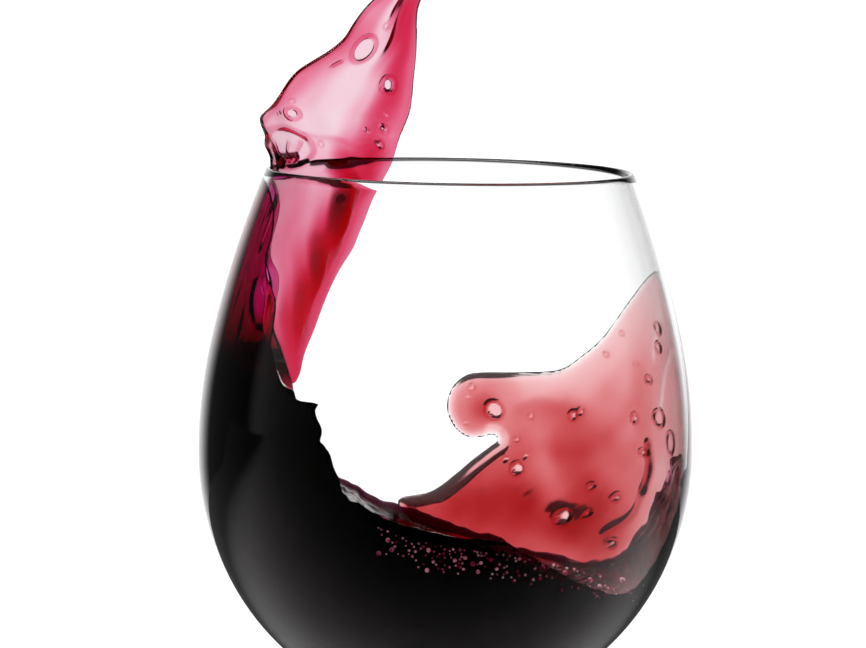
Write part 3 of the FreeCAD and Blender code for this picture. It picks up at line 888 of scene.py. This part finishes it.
def dress(obj, material):
    """Gives the whole mesh one material."""
    obj.data.materials.clear()
    obj.data.materials.append(material)
    for polygon in obj.data.polygons:
        polygon.material_index = 0


dress(glass, clear_material("clear_glass", 1.0, GLASS_IOR, 0.0, 45.0, 1.0, 0.06,
                            (0.50, 0.53, 0.53, 1), 40.0))
dress(wine, wine_material("wine_body", (0.835, 0.10, 0.60, 1), 7000.0, 1.0, 0.0, 160.0))
dress(sheet, wine_material("wine_sheet", (0.895, 0.034, 0.33, 1), 1450.0, 0.78, 0.0, 160.0))
dress(film, wine_material("wine_film", (0.77, 0.02, 0.06, 1), 1450.0, 0.95, 0.12, 220.0))
dress(foam_beads, foam_highlight_material())

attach(glass, "root")
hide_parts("glass")
for piece in (wine, sheet, film, foam_beads):
    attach(piece, "root")
    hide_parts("wine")


# ------------------------------------------------------------------ studio

def studio_world():
    """A white panel behind, dark flags on either side of it, pale grey round the rest and above."""
    world = bpy.data.worlds.new("studio")
    bpy.context.scene.world = world
    world.use_nodes = True
    nodes, links = world.node_tree.nodes, world.node_tree.links
    background = nodes["Background"]
    background.inputs["Color"].default_value = (1, 1, 1, 1)
    coords = nodes.new("ShaderNodeTexCoord")
    split = nodes.new("ShaderNodeSeparateXYZ")
    links.new(coords.outputs["Generated"], split.inputs["Vector"])

    def ramp(axis, start, end, low, high):
        node = nodes.new("ShaderNodeMapRange")
        node.interpolation_type = "SMOOTHSTEP"
        node.inputs["From Min"].default_value = start
        node.inputs["From Max"].default_value = end
        node.inputs["To Min"].default_value = low
        node.inputs["To Max"].default_value = high
        links.new(split.outputs[axis], node.inputs["Value"])
        return node.outputs["Result"]

    def add(a, b):
        node = nodes.new("ShaderNodeMath")
        links.new(a, node.inputs[0])
        links.new(b, node.inputs[1])
        return node.outputs["Value"]

    def multiply(a, b):
        result = add(a, b)
        result.node.operation = "MULTIPLY"
        return result

    panel = multiply(ramp("Y", 0.79, 0.965, 0.05, 1.22), ramp("Z", -0.45, -0.22, 0.1, 1.0))
    surround = ramp("Y", 0.12, 0.30, 0.55, 0.0)
    ceiling = ramp("Z", 0.50, 0.85, 0.0, 0.9)
    links.new(add(add(panel, surround), ceiling), background.inputs["Strength"])


FLOOR_LEVEL = -0.0004       # metres


def studio_floor():
    """A matt floor, just under the foot."""
    bm = bmesh.new()
    corners = [(-4.0, -5.0), (4.0, -5.0), (4.0, 2.2), (0.9, 0.62), (-0.9, 0.62), (-4.0, 2.2)]
    bm.faces.new([bm.verts.new((x, y, FLOOR_LEVEL)) for x, y in corners])
    mesh = bpy.data.meshes.new("studio_floor")
    bm.to_mesh(mesh)
    bm.free()
    floor = bpy.data.objects.new("studio_floor", mesh)
    bpy.context.scene.collection.objects.link(floor)
    material, nodes, links = new_material("studio_floor")
    shader = nodes["Principled BSDF"]
    shader.inputs["Roughness"].default_value = 0.9
    shader.inputs["Specular IOR Level"].default_value = 0.1
    # the floor is pale round the glass and darkens towards the back: painted shade, a floor colour that
    # stands in for the light falling off behind the glass
    coords = nodes.new("ShaderNodeTexCoord")
    split = nodes.new("ShaderNodeSeparateXYZ")
    links.new(coords.outputs["Object"], split.inputs["Vector"])
    back = nodes.new("ShaderNodeMapRange")
    back.interpolation_type = "SMOOTHSTEP"
    back.inputs["From Min"].default_value = 0.06
    back.inputs["From Max"].default_value = 0.34
    links.new(split.outputs["Y"], back.inputs["Value"])
    tone = nodes.new("ShaderNodeMix")
    tone.data_type = "RGBA"
    tone.inputs["A"].default_value = (0.62, 0.62, 0.62, 1)
    tone.inputs["B"].default_value = (0.07, 0.07, 0.07, 1)
    links.new(back.outputs["Result"], tone.inputs["Factor"])
    links.new(tone.outputs["Result"], shader.inputs["Base Color"])
    mesh.materials.append(material)


def area_light(name, place, aim, width, height, power):
    light = bpy.data.lights.new(name, "AREA")
    light.shape = "RECTANGLE"
    light.size = width
    light.size_y = height
    light.energy = power
    obj = bpy.data.objects.new(name, light)
    obj.location = place
    obj.rotation_euler = (Vector(aim) - Vector(place)).to_track_quat("-Z", "Y").to_euler()
    bpy.context.scene.collection.objects.link(obj)


studio_world()
studio_floor()
area_light("top_soft", (-0.35, 0.1, 1.1), (0, 0, 0.15), 0.7, 0.7, 6.0)

# ------------------------------------------------------------------ camera

pitch = math.atan2(CAMERA_OVER_LIP + LIP_OVER_CENTRE, CAMERA_DISTANCE)
camera_data = bpy.data.cameras.new("camera")
camera_data.sensor_width = 36.0
camera_data.lens = camera_data.sensor_width * CAMERA_DISTANCE / math.cos(pitch) / FRAME_WIDTH
camera_data.clip_end = 50.0
camera = bpy.data.objects.new("camera", camera_data)
camera.matrix_world = (Matrix.Translation(Vector((CAMERA_X, -CAMERA_DISTANCE, RIM + CAMERA_OVER_LIP)) * MM)
                       @ Matrix.Rotation(0.5 * math.pi - pitch, 4, "X")
                       @ Matrix.Rotation(CAMERA_ROLL, 4, "Z"))
bpy.context.scene.collection.objects.link(camera)
bpy.context.scene.camera = camera

view = bpy.context.scene.view_settings
view.view_transform = "Standard"
view.look = "None"
cycles = bpy.context.scene.cycles
cycles.max_bounces = 28
cycles.transmission_bounces = 28
cycles.transparent_max_bounces = 16
cycles.glossy_bounces = 6
